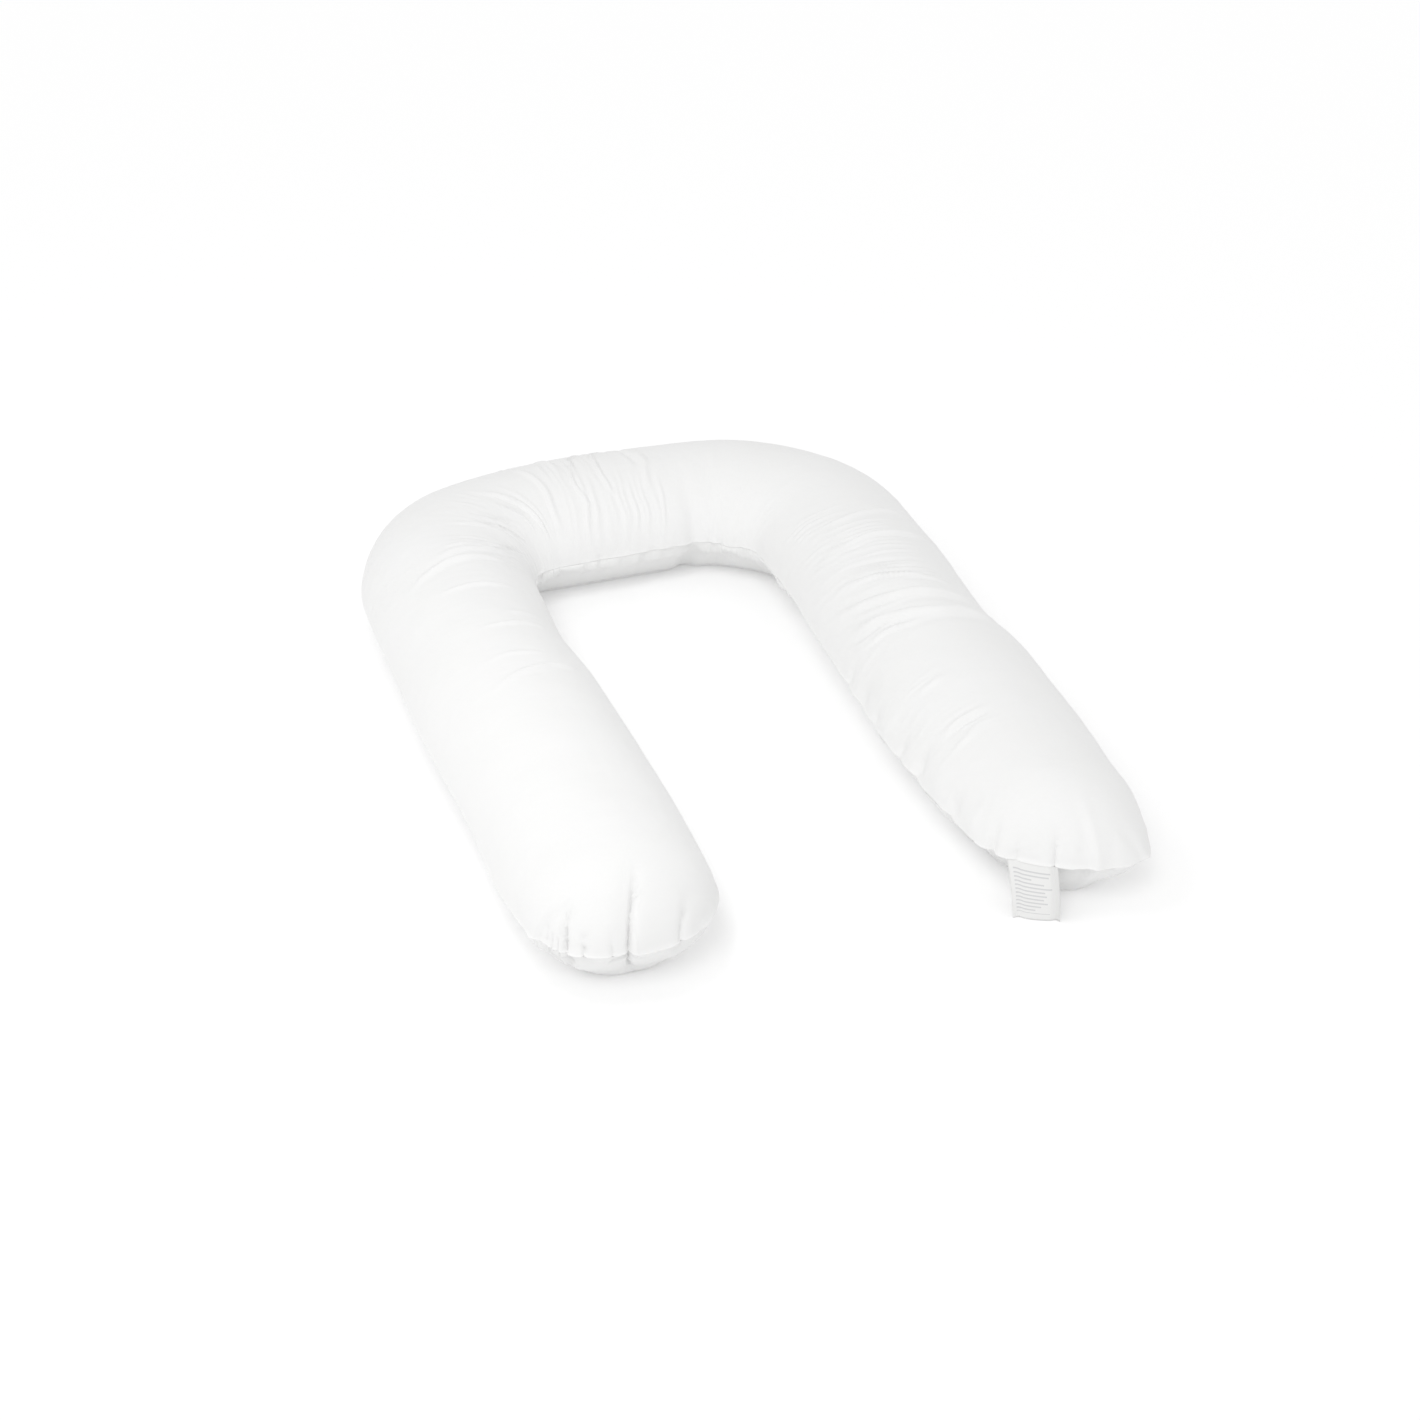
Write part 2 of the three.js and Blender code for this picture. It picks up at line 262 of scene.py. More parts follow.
# %% Section and ends
SEAM_HEIGHT = 71
CROWN = 89
TOP_POWER = 1.12
UNDER_POWER = 1.25
UNDER_FULLNESS = 1.2
UNDER_CORNER = 1.9
SMALL = 1e-3
END_COLUMNS = "sign, length, outer, inner, slant"
ENDS = table(END_COLUMNS, [(-1, 120.0, 0.82, 0.95, 0.0), (1, 115.0, 0.9, 0.72, 28.0)])
PINCHES = table("side, run, width, depth", [("inner", 1368, 13, 6), ("outer", 2024, 18, 4)])
UNDER_SHAPES = table("run, across, length, spread, rise", [
    (30, 40, 30, 25, -9), (30, 140, 30, 25, -9), (1368, 152, 11, 24, 18), (2478, 145, 45, 32, 36),
    (2525, 35, 30, 25, -12),
])


def bump(distance, width):
    """A soft hill, 1 in its middle."""
    return np.exp(-((distance / width) ** 2))


def from_tip(end, run):
    """How far a run is from one end's tip."""
    return run if end.sign < 0 else WHOLE_RUN - run


print("seam at", SEAM_HEIGHT, "mm, crown", SEAM_HEIGHT + CROWN, "mm high")


# %% A panel before its folds
def panel(is_top, run, degrees):
    """A panel without its folds: points in mm, how far across they are, and how high, from 0 in the seam."""
    angle = np.radians(degrees)
    share = np.cos(angle) + 0 * run
    height = np.sin(angle) + 0 * run
    outer = share >= 0
    half = np.where(outer, width_at(run, SECTIONS.outer), width_at(run, SECTIONS.inner))
    for pinch in PINCHES:
        half = half - pinch.depth * bump(run - pinch.run, pinch.width) * (outer == (pinch.side == "outer"))
    across, along = share * half, 0
    for end in ENDS:
        q = np.clip(1 - from_tip(end, run) / end.length, 0, 1)
        corner = np.where(outer, end.outer, end.inner)
        across = across * np.sqrt(1 - corner * q * q / 2)
        reach = end.length * q * (np.sqrt(1 - corner * share * share / 2) - 1)
        along = along + end.sign * (reach + end.slant * share * q * q)
        at_end = np.sqrt(1 - q * q)
        if is_top:
            height = height * at_end
        else:
            steep = np.maximum(height, SMALL) ** -UNDER_CORNER + np.maximum(at_end, SMALL) ** -UNDER_CORNER
            height = np.where(height * at_end > SMALL, (steep - 1) ** (-1 / UNDER_CORNER), 0)
    height = np.clip(height, 0, 1)
    if is_top:
        z = SEAM_HEIGHT + CROWN * height ** TOP_POWER
    else:
        z = SEAM_HEIGHT * (1 - UNDER_FULLNESS * height ** UNDER_POWER)
        for shape in UNDER_SHAPES:
            near = bump(run - shape.run, shape.length) * bump(degrees - shape.across, shape.spread)
            z = z + shape.rise * near * np.sqrt(height)
        z = np.maximum(z, 0)
    x, y, along_x, along_y = middle_line(run)
    x = x - along_y * across + along_x * along
    y = y + along_x * across + along_y * along
    return np.stack([x, y, z], -1), across, height


# %% [markdown]
# ## Where the mesh has its points
# Folds run across the tube, so rows of points stand closest together, about 2 mm, where the cloth is
# creased, and further apart where it is plain. Near the seam and the tips both the rows and the columns
# close up, because the cloth rolls over there within a few millimetres. The tucks in the arm ends run the
# other way, along the arm, so the columns of the rows near a tip are also drawn towards each tuck.

# %% Rows and columns
CREASED_ZONES = table("first, last, step", [
    (490, 600, 2.4), (640, 700, 2.6), (760, 1150, 2.1), (1150, 1345, 1.6),
    (1345, 1375, 2.4), (1700, 2085, 2.1), (2160, 2340, 2.4),
])
PLAIN_STEP = 6.0
NEAR_SEAM = [0, 0.7, 1.5, 2.6, 4.0, 5.8, 8.0, 10.6]
END_CELLS = 40
END_CROWDING = 1.25
CROWN_CELLS = 25


def column_angles():
    """Angles across the top panel in degrees, close together near both seams."""
    middle = np.linspace(NEAR_SEAM[-1], 90, CROWN_CELLS + 1)
    outer_half = np.concatenate([NEAR_SEAM[:-1], middle])
    return np.concatenate([outer_half, 180 - outer_half[-2::-1]])


def row_runs():
    """Runs of the rows, from tip to tip."""
    turn = QUARTER_TURN * np.linspace(0, 1, END_CELLS + 1) ** END_CROWDING
    tip = 1 - np.cos(turn)
    left, right = ENDS.length
    runs = [left]
    while runs[-1] < WHOLE_RUN - right - PLAIN_STEP:
        here = runs[-1]
        zones = CREASED_ZONES[(CREASED_ZONES.first <= here) & (here < CREASED_ZONES.last)]
        runs.append(here + (zones.step[0] if len(zones) else PLAIN_STEP))
    return np.concatenate([left * tip[:-1], runs, (WHOLE_RUN - right * tip)[::-1]])


COLUMNS = column_angles()
ROWS = row_runs()
print(len(ROWS), "rows of", len(COLUMNS), "points on the top panel")

# %% Columns crowded at the tucks
CROWDS = table("end, first, last, reach, spread, amount", [
    ("left", 77, 96, 125, 4.0, 7.0), ("left", 13, 22, 62, 5.0, 3.0), ("left", 122, 112, 75, 4.0, 3.0),
    ("left", 37, 37, 45, 3.0, 3.0), ("left", 63, 63, 45, 3.0, 3.0),
    ("right", 121, 118, 65, 4.0, 4.0), ("right", 86, 80, 90, 6.0, 1.5),
])
CROWD_FADE = 2
FINE_ANGLES = np.linspace(0, 180, 1801)


def crowded_columns(runs):
    """Angles of the columns in each row: they crowd together where a tuck runs along the arm."""
    count = np.arange(len(COLUMNS))
    plain = np.gradient(np.interp(FINE_ANGLES, COLUMNS, count))
    rows = []
    for run in runs:
        crowd = 1.0
        for row in CROWDS:
            away = (run if row.end == "left" else WHOLE_RUN - run) / row.reach
            centre = row.first + (row.last - row.first) * away
            fade = np.clip(CROWD_FADE * (1 - away), 0, 1)
            crowd = crowd + row.amount * fade * bump(FINE_ANGLES - centre, row.spread)
        total = np.cumsum(plain * crowd)
        total = (total - total[0]) / (total[-1] - total[0]) * count[-1]
        rows.append(np.interp(count, total, FINE_ANGLES))
    return np.array(rows)


ANGLES = crowded_columns(ROWS)
print("columns crowd at", len(CROWDS), "tucks")

# %% [markdown]
# ## Chance that stays the same
# Real cloth is never quite regular. Every irregular value below comes from a smooth random field with its
# own seed, so that each run of the script gives the same pillow.


# %% Smooth random fields
CURVE_VALUES = 4096
FIELD_VALUES = 512


def random_curve(u, size, seed):
    """A smooth random value from -1 to 1 along u, which changes over about one size."""
    values = np.random.default_rng(seed).uniform(-1, 1, CURVE_VALUES)
    cell = np.asarray(u, float) / size
    i = np.floor(cell).astype(int)
    t = cell - i
    ease = t * t * (3 - 2 * t)
    return values[i % CURVE_VALUES] * (1 - ease) + values[(i + 1) % CURVE_VALUES] * ease


def random_field(u, v, size_u, size_v, seed):
    """A smooth random value from -1 to 1 over u and v."""
    values = np.random.default_rng(seed).uniform(-1, 1, (FIELD_VALUES, FIELD_VALUES))
    u, v = np.broadcast_arrays(np.asarray(u, float) / size_u, np.asarray(v, float) / size_v)
    i, j = np.floor(u).astype(int), np.floor(v).astype(int)
    s, t = u - i, v - j
    s, t = s * s * (3 - 2 * s), t * t * (3 - 2 * t)
    i, i_next = i % FIELD_VALUES, (i + 1) % FIELD_VALUES
    j, j_next = j % FIELD_VALUES, (j + 1) % FIELD_VALUES
    low = values[i, j] * (1 - s) + values[i_next, j] * s
    high = values[i, j_next] * (1 - s) + values[i_next, j_next] * s
    return low * (1 - t) + high * t


# %% [markdown]
# ## Folds one by one
# Where the tube bends, or was bent in use, the top panel has cloth to spare and folds across the tube. Each
# main fold is a low ridge with a shallow trough on each side: it starts at one angle and run, ends at
# another, and bows in between. They are placed one row each, which no simulation would put in the
# same places.

# %% Main folds
FOLD_COLUMNS = "first, last, start, end, bow, width, rise"
MAIN_FOLDS = table(FOLD_COLUMNS, [
    (70, 138, 500, 556, 4, 5.5, 2.6), (74, 112, 568, 574, 0, 5, 1.0), (82, 128, 650, 662, 0, 4.5, 2.0),
    (100, 132, 684, 696, 0, 6, 1.2), (70, 118, 764, 776, 0, 5, 2.0), (52, 120, 820, 858, 9, 6, 2.8),
    (78, 134, 866, 892, 4, 5, 2.2), (84, 136, 886, 926, -4, 5, 1.8), (112, 160, 880, 1050, -30, 5, 1.7),
    (94, 148, 962, 1040, -6, 4.5, 2.0), (88, 150, 1062, 1134, 8, 5, 3.2), (70, 148, 1140, 1168, 8, 4.5, 2.0),
    (52, 134, 1250, 1228, -24, 2.8, 2.0), (54, 128, 1280, 1266, -20, 2.8, 2.0),
    (20, 60, 1330, 1306, -4, 5, -1.8),
    (60, 100, 1304, 1310, 0, 5, -2.0), (50, 96, 1186, 1198, 0, 4.5, 1.5), (70, 130, 1322, 1312, 4, 5, 1.5),
    (80, 112, 1428, 1432, 0, 6, 0.8), (42, 112, 1722, 1752, 8, 5.5, 2.5), (28, 132, 1790, 1812, 20, 5.5, 3.0),
    (60, 138, 1956, 1894, 8, 5.5, 3.0), (44, 150, 1990, 1934, 27, 8, 4.8), (40, 150, 2036, 1984, 32, 9, 5.4),
    (84, 150, 2052, 2020, 14, 6, 1.8), (112, 132, 2192, 2196, 4, 6, 1.4), (104, 138, 2286, 2294, 6, 5, 2.0),
    (106, 136, 2302, 2312, -4, 5, -2.0), (110, 142, 2316, 2330, 7, 5, 1.8), (140, 164, 2118, 2146, 0, 5, 1.4),
])
FOLD_FADE = 0.7
TROUGH = 0.6


def ridge(distance, width):
    """A ridge with a shallow trough on each side of it."""
    q = (distance / width) ** 2
    return (1 - TROUGH * q) * np.exp(-q / 2)


def fold_lift(fold, run, degrees):
    """How far one fold lifts the cloth."""
    t = np.clip((degrees - fold.first) / (fold.last - fold.first), 0, 1)
    middle = fold.start + (fold.end - fold.start) * t + 4 * fold.bow * t * (1 - t)
    return fold.rise * np.sin(np.pi * t) ** FOLD_FADE * ridge(run - middle, fold.width)


print(len(MAIN_FOLDS), "main folds")

# %% [markdown]
# ## Fans of fine wrinkles
# Round both bends and near them the spare cloth gathers in many fine wrinkles, most of them 11 to 13 mm
# apart, that fan out over the crown. A fan is a row of small folds made by a loop: its table row says where
# the fan starts and ends, and chance varies each wrinkle's place, length and height.

# %% Wrinkle fans
FAN_COLUMNS = "begin, end, spacing, first, last, slant_first, slant_last, bow, width, rise, seed"
WRINKLE_FANS = table(FAN_COLUMNS, [
    (868, 912, 13, 84, 128, 14, 26, 4, 3.4, 1.5, 11), (956, 1012, 11, 92, 144, 44, 52, -4, 3.4, 1.6, 12),
    (1052, 1102, 11, 94, 148, 34, 50, 4, 3.4, 1.6, 13), (1146, 1186, 11, 26, 66, -18, -22, 0, 3.2, 1.1, 14),
    (1172, 1218, 11, 12, 56, -20, -26, -4, 3.2, 1.2, 15),
    (1190, 1334, 11, 104, 172, -8, -14, 2, 3.8, 1.6, 16),
    (1334, 1358, 11, 4, 38, -20, -22, 0, 3.6, 1.2, 17), (1172, 1262, 12, 60, 114, 4, 6, -3, 3.4, 1.2, 18),
    (1708, 1784, 11, 96, 150, -4, -8, 0, 3.2, 1.1, 19),
    (1768, 1908, 12, 68, 132, -4, -26, 9, 3.6, 2.0, 20),
    (1906, 1976, 12, 66, 140, -30, -48, 12, 4.0, 1.9, 21),
    (1800, 1930, 15, 118, 152, -14, -22, 0, 3.6, 1.0, 22),
    (2000, 2064, 13, 98, 152, -34, -36, 10, 4.0, 1.6, 23), (2174, 2206, 11, 112, 144, 4, 4, 0, 3.6, 0.8, 24),
    (2276, 2338, 11, 106, 142, 6, 8, 0, 4.0, 0.9, 25), (1600, 1700, 22, 118, 160, -4, -8, 0, 5.0, 0.6, 26),
    (1270, 1330, 12, 20, 70, -14, -18, -4, 3.4, 1.2, 27), (1004, 1060, 13, 70, 110, 10, 16, 4, 3.4, 0.8, 28),
    (836, 880, 12, 96, 150, 22, 34, 0, 3.6, 1.0, 29), (2060, 2480, 21, 140, 168, 6, 6, 0, 4.6, 0.9, 30),
])
SLANT_CHANCE = 4
PLACE_CHANCE = 0.25
FIRST_CHANCE = (-8, 10)
LAST_CHANCE = (-12, 8)
WIDTH_CHANCE = (0.65, 1.05)
RISE_CHANCE = (0.4, 1.3)
BOW_CHANCE = 2


def wrinkles_of(fan):
    """The wrinkles of one fan, in the columns of the folds table."""
    chance = np.random.default_rng(fan.seed)
    rows = []
    for place in np.arange(fan.begin, fan.end, fan.spacing):
        share = (place - fan.begin) / (fan.end - fan.begin)
        slant = fan.slant_first + (fan.slant_last - fan.slant_first) * share
        slant = slant + chance.uniform(-SLANT_CHANCE, SLANT_CHANCE)
        start = place + chance.uniform(-PLACE_CHANCE, PLACE_CHANCE) * fan.spacing
        first = fan.first + chance.uniform(*FIRST_CHANCE)
        last = fan.last + chance.uniform(*LAST_CHANCE)
        width = fan.width * chance.uniform(*WIDTH_CHANCE)
        rise = fan.rise * chance.uniform(*RISE_CHANCE)
        bow = fan.bow + chance.uniform(-BOW_CHANCE, BOW_CHANCE)
        rows.append((first, last, start, start + slant, bow, width, rise))
    return table(FOLD_COLUMNS, rows)


FINE_WRINKLES = [wrinkle for fan in WRINKLE_FANS for wrinkle in wrinkles_of(fan)]
print(len(FINE_WRINKLES), "fine wrinkles in", len(WRINKLE_FANS), "fans")

# %% [markdown]
# ## Pleats in the arm ends
# A squared end is a flat outline pulled over a round filling, so the spare width goes into pleats that
# start in the end seam and fade out over both panels. Each row gives where a pleat starts in the seam, its
# heading in degrees from the arm's own direction, and how far it reaches. Sharp ones are tucks, and the
# rest are soft.

# %% Pleats
PLEATS = table("x, y, heading, reach, width, rise, sharp", [
    (-388, -529, 30, 34, 1.8, -4.2, 1), (-384, -538, 28, 32, 1.6, -3.6, 1),
    (-380, -545, 24, 30, 1.6, -4.0, 1), (-373, -553, 18, 62, 3.3, -10.5, 1),
    (-377, -549, 20, 46, 2.6, 1.6, 0), (-355, -570, 14, 40, 2.1, -6.0, 1),
    (-324, -583, 8, 38, 2.6, -3.4, 1), (-304, -587, 23, 116, 3.2, -12.5, 1),
    (-314, -587, 23, 116, 9, -3.4, 0), (-294, -588, 22, 64, 4.0, 2.2, 0),
    (-268, -587, 12, 36, 2.0, -2.6, 1), (-236, -577, 30, 70, 3.0, -6.5, 1),
    (-402, -511, 106, 80, 7.0, 3.6, 0), (-398, -523, 104, 56, 5.0, -2.8, 0),
    (-206, -560, 40, 40, 3.0, -2.2, 1), (180, -521, 60, 52, 7.0, -6.0, 0),
    (243, -575, 30, 58, 3.0, -5.0, 1), (292, -596, -3, 100, 7.0, 2.6, 0),
    (281, -596, -3, 92, 6.0, -2.2, 0), (352, -598, -47, 76, 8.0, -2.4, 0),
    (270, -590, 40, 44, 2.4, -3.2, 1), (312, -600, 4, 60, 4.0, -2.0, 1),
    (206, -545, 48, 36, 3.0, -2.4, 1),
])


def pleats_lift(points):
    """How far the pleats lift the cloth at these points: most in the seam, and nothing where they end."""
    lift = 0
    for pleat in PLEATS:
        from_start = points - (pleat.x, pleat.y, SEAM_HEIGHT)
        heading = np.radians(pleat.heading)
        distance = from_start[..., 0] * np.cos(heading) - from_start[..., 1] * np.sin(heading)
        away = np.clip(np.linalg.norm(from_start, axis=-1) / pleat.reach, 0, 1)
        shape = np.exp(-np.abs(distance) / pleat.width) if pleat.sharp else bump(distance, pleat.width)
        lift = lift + pleat.rise * np.cos(QUARTER_TURN * away) * shape
    return lift


print(len(PLEATS), "pleats")

# %% [markdown]
# ## One closed mesh
# The two panels share every point of the seam, as sewn cloth does. The underside has half as many columns,
# since nobody looks at it closely, so at the two end seams its faces have five corners.


# %% Closed body from two panels
def closed_body(name, top, under):
    """A mesh of two grids that share their rim, in metres."""
    rows, columns = top.shape[:2]
    half = under.shape[1]
    top_index = np.arange(rows * columns).reshape(rows, columns)
    under_index = np.full((rows, half), -1)
    under_index[:, 0] = top_index[:, 0]
    under_index[:, -1] = top_index[:, -1]
    inside = under[1:-1, 1:-1].reshape(-1, 3)
    under_index[1:-1, 1:-1] = rows * columns + np.arange(len(inside)).reshape(rows - 2, half - 2)
    faces = []
    for i in range(rows - 1):
        for j in range(columns - 1):
            a, b = top_index[i, j], top_index[i + 1, j]
            c, d = top_index[i + 1, j + 1], top_index[i, j + 1]
            faces.append((a, d, c, b))
    step = (columns - 1) // (half - 1)
    for i in range(rows - 1):
        for j in range(half - 1):
            at_rim = slice(step * j, step * (j + 1) + 1)
            first = top_index[0, at_rim] if i == 0 else under_index[i, j:j + 2]
            last = top_index[-1, at_rim] if i == rows - 2 else under_index[i + 1, j:j + 2]
            faces.append((*first, *last[::-1]))
    mesh = bpy.data.meshes.new(name)
    points = np.concatenate([top.reshape(-1, 3), inside]) * MM
    mesh.from_pydata(points, [], [tuple(map(int, face)) for face in faces])
    mesh.shade_smooth()
    piece = bpy.data.objects.new(name, mesh)
    bpy.context.scene.collection.objects.link(piece)
    return piece


def points_of(mesh, rows, columns, half):
    """The top and underside grids of such a mesh, in mm."""
    flat = np.zeros(len(mesh.vertices) * 3, np.float32)
    mesh.vertices.foreach_get("co", flat)
    points = flat.reshape(-1, 3) / MM
    top = points[:rows * columns].reshape(rows, columns, 3)
    inside = points[rows * columns:].reshape(rows - 2, half - 2, 3)
    return top, inside


# %% [markdown]
# ## Blow the cover up
# A real cover is cut a little larger than its filling needs, so the filling pushes it out between the
# stitches and the spare cloth buckles. Blender's cloth does the same: a coarse copy of both panels, held at
# the seam, gets 4.5 % of spare length where the pillow is creased, is blown up for 20 frames without
# gravity, and is read back. Only the movement is kept, at most 9 mm, and it is added to the fine surface,
# which keeps its measures.

# %% Rows of the coarse copy
SAMPLE_STEP = 8.5
SAMPLE_TIP_ROWS = 14
CREASED_FADE = 40


def sample_rows():
    """Rows of the coarse copy, evenly spaced but for the tips."""
    turn = QUARTER_TURN * np.linspace(0, 1, SAMPLE_TIP_ROWS)
    left, right = ENDS.length
    count = round((WHOLE_RUN - left - right) / SAMPLE_STEP)
    middle = np.linspace(left, WHOLE_RUN - right, count + 1)
    tip = 1 - np.cos(turn)
    return np.concatenate([left * tip[:-1], middle, (WHOLE_RUN - right * tip[:-1])[::-1]])


def creased(run):
    """How creased the cloth is at a run, from 0, plain, to 1."""
    amount = 0 * run
    for zone in CREASED_ZONES:
        inside = np.minimum(run - zone.first, zone.last - run) / CREASED_FADE + 0.5
        amount = np.maximum(amount, np.clip(inside, 0, 1))
    return amount


print(len(sample_rows()), "rows on the coarse copy")

# %% The cover as cloth
BLOW_FRAMES = 20
BLOW_PRESSURE = 4.0
SPARE_CLOTH = 0.045


def cover_cloth(piece, held, spare):
    """Gives a piece the cloth settings of a light woven cover."""
    piece.vertex_groups.new(name="held").add([int(i) for i in held], 1.0, "REPLACE")
    group = piece.vertex_groups.new(name="spare")
    for i, amount in enumerate(spare):
        group.add([i], float(amount), "REPLACE")
    cloth = piece.modifiers.new("cover", "CLOTH")
    cloth.settings.quality = 5
    cloth.settings.mass = 0.02
    cloth.settings.tension_stiffness = 15
    cloth.settings.compression_stiffness = 15
    cloth.settings.shear_stiffness = 5
    cloth.settings.bending_stiffness = 0.05
    cloth.settings.use_pressure = True
    cloth.settings.uniform_pressure_force = BLOW_PRESSURE
    cloth.settings.vertex_group_mass = "held"
    cloth.settings.vertex_group_shrink = "spare"
    cloth.settings.shrink_min = 0.0
    cloth.settings.shrink_max = -SPARE_CLOTH
    cloth.settings.effector_weights.gravity = 0
    cloth.point_cache.frame_start = 1
    cloth.point_cache.frame_end = BLOW_FRAMES


print("spare cloth", SPARE_CLOTH * 100, "%")

# %% Blowing up and reading back
SAMPLE_CELLS = 40
SAMPLE_UNEVEN = (0.5, 20, 12, 2)
MOST_MOVEMENT = 9.0


def blown_movement():
    """How the top and the underside move when the cover is blown up, on the coarse grid, in mm."""
    runs, degrees = sample_rows(), np.linspace(0, 180, SAMPLE_CELLS + 1)
    run, degree = runs[:, None], degrees[None, :]
    top = panel(True, run, degree)[0]
    under = panel(False, run, degree[:, ::2])[0]
    height, long, wide, seed = SAMPLE_UNEVEN
    top[1:-1, 1:-1, 2] += height * random_field(run, degree, long, wide, seed)[1:-1, 1:-1]
    sample = closed_body("sample", top, under)
    rows, columns, half = len(runs), len(degrees), under.shape[1]
    index = np.arange(rows * columns).reshape(rows, columns)
    held = np.unique(np.concatenate([index[0], index[-1], index[:, 0], index[:, -1]]))
    spare = np.concatenate([np.repeat(creased(runs), columns), np.repeat(creased(runs[1:-1]), half - 2)])
    cover_cloth(sample, held, spare)
    scene = bpy.context.scene
    for number in range(1, BLOW_FRAMES + 1):
        scene.frame_set(number)
    blown = sample.evaluated_get(bpy.context.evaluated_depsgraph_get())
    blown_top, blown_inside = points_of(blown.data, rows, columns, half)
    top_movement = blown_top - top
    under_movement = np.zeros_like(under)
    under_movement[1:-1, 1:-1] = blown_inside - under[1:-1, 1:-1]
    scene.frame_set(1)
    bpy.data.objects.remove(sample)
    return runs, degrees, top_movement, under_movement


def capped(movement, most):
    """The movement, with its length held below a limit."""
    length = np.linalg.norm(movement, axis=-1, keepdims=True)
    return movement * most * np.tanh(length / most) / np.maximum(length, 1e-6)


def resampled(grid, place, axis):
    """A smooth curve through the grid's values, read at fractional places along one axis."""
    grid = np.moveaxis(grid, axis, 0)
    i = np.clip(np.floor(place).astype(int), 0, len(grid) - 2)
    t = (place - i).reshape(-1, *[1] * (grid.ndim - 1))
    before, after = grid[np.maximum(i - 1, 0)], grid[np.minimum(i + 2, len(grid) - 1)]
    here, there = grid[i], grid[i + 1]
    value = here + t * (there - here)
    bend = (1 - t) * (2 * here - before - there) + t * (2 * there - here - after)
    return np.moveaxis(value + t * (1 - t) / 2 * bend, 0, axis)


def movement_at(runs, degrees, movement, fine_runs, fine_degrees):
    """The coarse movement on the fine grid."""
    row = np.interp(fine_runs, runs, np.arange(len(runs)))
    column = np.interp(fine_degrees, degrees, np.arange(len(degrees)))
    return resampled(resampled(capped(movement, MOST_MOVEMENT), row, 0), column, 1)


top_moved = under_moved = 0
blown_runs, blown_degrees, top_blown, under_blown = blown_movement()
top_moved = movement_at(blown_runs, blown_degrees, top_blown, ROWS, COLUMNS)
under_moved = movement_at(blown_runs, blown_degrees[::2], under_blown, ROWS, COLUMNS[::2])
length = np.linalg.norm(top_moved, axis=-1)
print("the cover moved", round(length.mean(), 1), "mm on average and", round(length.max(), 1), "at most")

# %% [markdown]
# ## From sizes to cloth
# A panel's points are moved along their own normal by all folds together, and the folds and wrinkles fade
# out towards the seam, where the stitches hold the cloth. The seam allowance makes a small lip that stands
# out by 1 to 3 mm. Only the pleats and a few dents move the seam too, and below it the underside is drawn
# in by soft gathers square to the seam. Where folds cross they add up, so their height is softly limited,
# most of all on the inner side of a bend, where the rows of points crowd together.

# %% Directions on a panel
def normals_of(points):
    """The normal of a grid of points, from its rows and columns."""
    down = np.gradient(points, axis=0)
    over = np.gradient(points, axis=1)
    normal = np.cross(down, over)
    length = np.linalg.norm(normal, axis=-1, keepdims=True)
    return normal / np.maximum(length, 1e-9)


def outward_of(normal):
    """The level direction that leads out of the pillow."""
    level = normal * (1, 1, 0)
    length = np.linalg.norm(level, axis=-1, keepdims=True)
    return level / np.maximum(length, 1e-6)


# %% Folds and lumps together
LUMP = 1.2
LUMPS = [(1.0, 85, 34, 5), (0.5, 32, 22, 6)]
FOLD_STRENGTH = 1.5
WRINKLE_STRENGTH = 1.0
FOLD_START = 1.4
FOLD_WOBBLES = [(4.0, 45, 18, 3), (1.0, 18, 12, 4)]
MOST_CREASE = 10.0
MOST_CROWDING = 0.2
LIMIT_POWER = 4


def top_lift(run, degree, height, crowding):
    """How far folds, wrinkles and lumps of the filling lift the top panel."""
    wobble = sum(amount * random_field(run, degree, *field) for amount, *field in FOLD_WOBBLES)
    folds = sum(fold_lift(fold, run + wobble, degree) for fold in MAIN_FOLDS)
    wrinkles = sum(fold_lift(wrinkle, run + wobble, degree) for wrinkle in FINE_WRINKLES)
    creases = (FOLD_STRENGTH * folds + WRINKLE_STRENGTH * wrinkles) * np.minimum(1, FOLD_START * height)
    most = MOST_CREASE * np.clip(crowding, MOST_CROWDING, 1)
    creases = creases / (1 + (creases / most) ** LIMIT_POWER) ** (1 / LIMIT_POWER)
    lumps = sum(amount * random_field(run, degree, *field) for amount, *field in LUMPS)
    return creases + LUMP * height * lumps


print("creases rise less than", MOST_CREASE, "mm")

# %% Dents of the inner edge
DENTS = table("run, degree, length, spread, depth", [
    (2290, 168, 13, 15, -8), (2100, 170, 16, 12, -5), (2240, 172, 9, 11, -5), (2390, 168, 12, 13, -6),
    (2340, 162, 18, 14, 3.5), (2190, 166, 18, 12, 3.5), (2150, 173, 9, 10, -4), (2440, 166, 14, 12, 3),
    (2045, 172, 9, 11, -4), (1303, 180, 6, 5, -2), (1225, 180, 7, 5, -2.4), (1262, 180, 12, 7, 2),
    (1338, 180, 7, 5, -1.8), (1392, 180, 6, 5, -2), (1420, 180, 8, 6, 1.6), (1452, 180, 7, 5, -1.5),
])
UNDER_DENTS_WIDER = 2.5


def dents(run, degree, is_top):
    """Single dents and swellings of the inner edge, wider on the underside."""
    wider = 1 if is_top else UNDER_DENTS_WIDER
    depth = 0
    for dent in DENTS:
        across = bump(degree - dent.degree, dent.spread * wider)
        depth = depth + dent.depth * bump(run - dent.run, dent.length) * across
    return depth


print(len(DENTS), "dents and swellings")

# %% Gathers
GATHER_SIDES = (11, 7)
GATHER_ENDS = (10, 8)
GATHER_END_RUN = 60
SIDES_APART = 30


